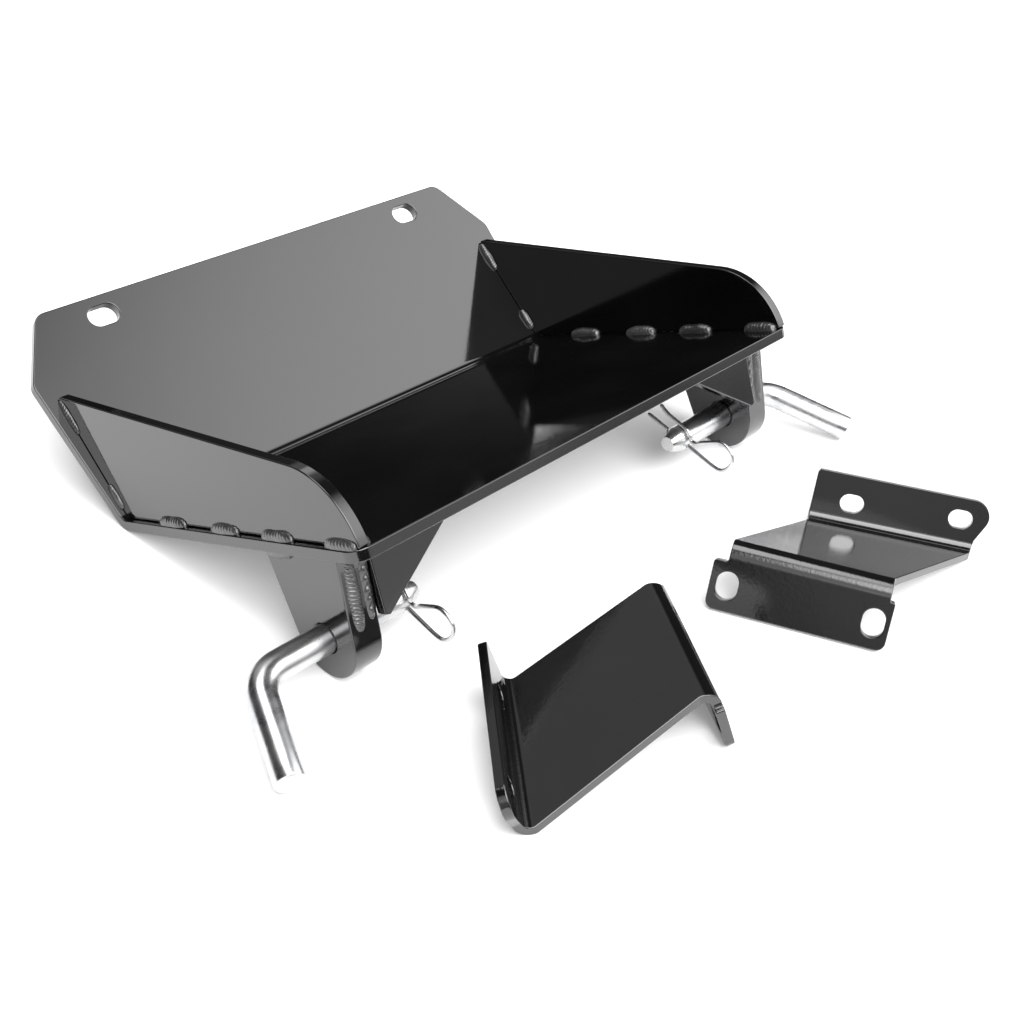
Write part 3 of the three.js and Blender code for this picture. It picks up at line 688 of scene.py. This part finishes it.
def hairpin(side):
    rest = PIN["radius"] + WIRE + GAP
    points = [(-25.7, 0), (-18, 0), (-9, 0), (0, 0), (10, 0), (20, 0), (28, 0.1), (33.2, 1.0), (36.4, 3.8), (38.2, 7.6),
              (38.6, 11.6), (36.8, 15.6), (33, 18.1), (28.6, 18.6), (25, 17.4), (20, 13.2), (15.4, 9.0), (12.2, 5.6)]
    points += [(rest * math.cos(math.radians(a)) + 0.4, rest * math.sin(math.radians(a))) for a in (30, 50, 70, 90)]
    points += [(-6, rest), (-12, rest + 0.1), (-16.5, rest + 0.9), (-20.3, rest + 2.4)]
    path = catmull([Vector((x, y, 0)) for x, y in points], 5)
    radii = [0.5 * WIRE, 0.9 * WIRE] + [WIRE] * (len(path) - 4) + [0.9 * WIRE, 0.5 * WIRE]
    name = side + "_hairpin"
    at = pin_place(side) @ Matrix.Translation((PIN["hole"], 0, 0))
    turn = Matrix(((0, 0, -1, 0), (-1, 0, 0, 0), (0, 1, 0, 0), (0, 0, 0, 1)))  # tail along the handle's way
    finish_piece(name + "_wire", tube(path, radii, 16), at @ turn, WIRE_ZINC, side + "_clip", name, 40)


# ------------------------------------------------------------------ loose frame brackets


def frame_bracket(side):
    t, r, turn = BRACKET["thickness"], BRACKET["radius"], BRACKET["turn"]
    flat_arc = turn * (r + t / 2)
    inner_set, outer_set = r * math.tan(turn / 2), (r + t) * math.tan(turn / 2)
    start, end = UPPER_FOLD
    along = (end - start).normalized()
    away = Vector((-along.y, along.x))
    upper = lambda s, h: start + along * s + away * (h - inner_set + flat_arc - inner_set)  # flat, upper flange
    lower = lambda x, h: Vector((x, -(h - outer_set) - flat_arc + outer_set))  # flat, lower flange
    length = (end - start).length
    nose = length + UPPER_FLANGE["reach"]
    top, bottom = UPPER_FLANGE["height"], LOWER_FLANGE["height"]
    left, right = LOWER_FLANGE["left"], LOWER_FLANGE["right"]
    shoulder = outer_set + 1.3
    fold_right = BRACKET["fold"]
    corners = [
        (*lower(left, bottom), 5), (*lower(right, bottom), 5), (*lower(right, shoulder), 2), (*lower(fold_right, shoulder), 1.2),
        (fold_right, outer_set, 6), (*(end - away * inner_set), 6),
        (*upper(length + 1.5, inner_set + 1), 3), (*upper(nose, UPPER_FLANGE["nose_at"]), 9),
        (*upper(nose - 6, top), 9), (*upper(0, top), 3), (*upper(0, inner_set), 3),
        (*(start - away * inner_set), 6), (0, outer_set, 6), (*lower(0, shoulder), 1.2), (*lower(left, shoulder), 2),
    ]
    outer = eased(corners)
    holes = []
    for x in (2.2, 81.2):
        p = lower(x, 23.9)
        holes.append(slot_hole(p.x, p.y, 16, 12, math.pi / 2))
    for x, h in ((56.6, 12.9), (118.9, 16.9)):
        p = upper((x - start.x) / along.x, h)
        holes.append(slot_hole(p.x, p.y, 14, 10.5, math.atan2(along.y, along.x)))
    bm = flat_plate(outer, holes, t, edge=0.6)
    fold(bm, start - away * inner_set, along, turn, r, t, True)
    fold(bm, Vector((0, outer_set)), Vector((-1, 0)), turn, r, t, False)
    name = side + "_frame_bracket"
    low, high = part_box(name)
    yaw = BRACKET_TURN[side] + (math.pi if side == "left" else 0)
    turned = Matrix.Rotation(yaw, 4, "Z") @ (MIRROR if side == "left" else Matrix()) @ Matrix.Rotation(-BRACKET_TIP, 4, "X")
    places = [turned @ v.co for v in bm.verts]
    found = Vector([min(p[i] for p in places) for i in range(3)])
    place = Matrix.Translation(low / MM - found) @ turned
    finish_piece(name + "_plate", bm, place, BRACKET_COAT, side + "_bracket", name)


# ------------------------------------------------------------------ floor, light and world


def studio():
    bm = bmesh.new()
    rim = [bm.verts.new((1.7 * math.cos(a), 1.7 * math.sin(a), -0.0001)) for a in (2 * math.pi * k / 64 for k in range(64))]
    bm.faces.new(rim)
    mesh = bpy.data.meshes.new("floor")
    bm.to_mesh(mesh)
    bm.free()
    floor = bpy.data.objects.new("floor", mesh)
    mat, nodes, links, bsdf = new_material("pale_floor")
    soft = add_noise(nodes, links, 3, 2).outputs["Fac"]
    links.new(ramp_between(nodes, links, soft, 0.3, 0.7, (0.84, 0.84, 0.84), (0.88, 0.88, 0.88)), bsdf.inputs["Base Color"])
    bsdf.inputs["Roughness"].default_value = 0.9
    bsdf.inputs["Specular IOR Level"].default_value = 0.1
    bsdf.inputs["Emission Color"].default_value = (1, 1, 1, 1)
    bsdf.inputs["Emission Strength"].default_value = 0.2
    mesh.materials.append(mat)
    bpy.context.scene.collection.objects.link(floor)


def smooth_step(nodes, links, source, low, high):
    step = nodes.new("ShaderNodeMapRange")
    step.interpolation_type = "SMOOTHSTEP"
    step.inputs["From Min"].default_value = low
    step.inputs["From Max"].default_value = high
    links.new(source, step.inputs["Value"])
    return step.outputs["Result"]


def towards(nodes, links, direction):
    """The cosine between the world direction looked in and a fixed direction."""
    coords = nodes.new("ShaderNodeTexCoord")
    dot = nodes.new("ShaderNodeVectorMath")
    dot.operation = "DOT_PRODUCT"
    dot.inputs[1].default_value = Vector(direction).normalized()
    links.new(coords.outputs["Generated"], dot.inputs[0])
    return dot.outputs["Value"]


def lit(nodes, links, factor, amount, base):
    made = nodes.new("ShaderNodeMath")
    made.operation = "MULTIPLY_ADD"
    made.inputs[1].default_value = amount
    links.new(factor, made.inputs[0])
    if isinstance(base, float):
        made.inputs[2].default_value = base
    else:
        links.new(base, made.inputs[2])
    return made.outputs["Value"]


def sky():
    """A studio of large soft lights in front of dark walls, each a cone of the sky around one direction."""
    world = bpy.data.worlds.new("studio")
    bpy.context.scene.world = world
    world.use_nodes = True
    nodes, links = world.node_tree.nodes, world.node_tree.links
    nodes.clear()
    lamps = (
        ((0.02, 0.27, 0.96), 0.92, 0.965, 5.2),  # ceiling
        ((-0.12, -0.58, 0.80), 0.82, 0.92, 7.0),  # broad key light, high at the front left
        ((0.72, -0.45, 0.53), 0.80, 0.99, 3.3),  # big panel at the front right
        ((0.62, 0.60, 0.50), 0.985, 0.995, 1.6),  # strip at the rear right
        ((0.30, 0.75, 0.60), 0.86, 0.94, 0.42),  # dim bounce from the rear
        ((-0.80, -0.55, 0.28), 0.95, 0.985, 0.5),  # dim bounce from the left
        ((0.45, -0.89, 0.05), 0.94, 0.985, 0.85),  # dim bounce from the front
        ((-0.63, -0.45, 0.63), 0.90, 0.97, 1.3),  # soft fill at the front left
    )
    level = 0.045
    for direction, low, high, amount in lamps:
        facing = smooth_step(nodes, links, towards(nodes, links, direction), low, high)
        level = lit(nodes, links, facing, amount, level)
    light = nodes.new("ShaderNodeBackground")
    links.new(level, light.inputs["Strength"])
    seen = nodes.new("ShaderNodeBackground")
    seen.inputs["Color"].default_value = (1, 1, 1, 1)
    path = nodes.new("ShaderNodeLightPath")
    mix = nodes.new("ShaderNodeMixShader")
    output = nodes.new("ShaderNodeOutputWorld")
    links.new(path.outputs["Is Camera Ray"], mix.inputs["Fac"])
    links.new(light.outputs["Background"], mix.inputs[1])
    links.new(seen.outputs["Background"], mix.inputs[2])
    links.new(mix.outputs["Shader"], output.inputs["Surface"])


place_camera()
mount_plate()
for hand in ("left", "right"):
    side_gusset(hand)
    pin_lug(hand)
    lug_gusset(hand)
    hitch_pin(hand)
    hairpin(hand)
    frame_bracket(hand)
all_welds()
studio()
sky()
bpy.context.scene.view_settings.view_transform = "Standard"
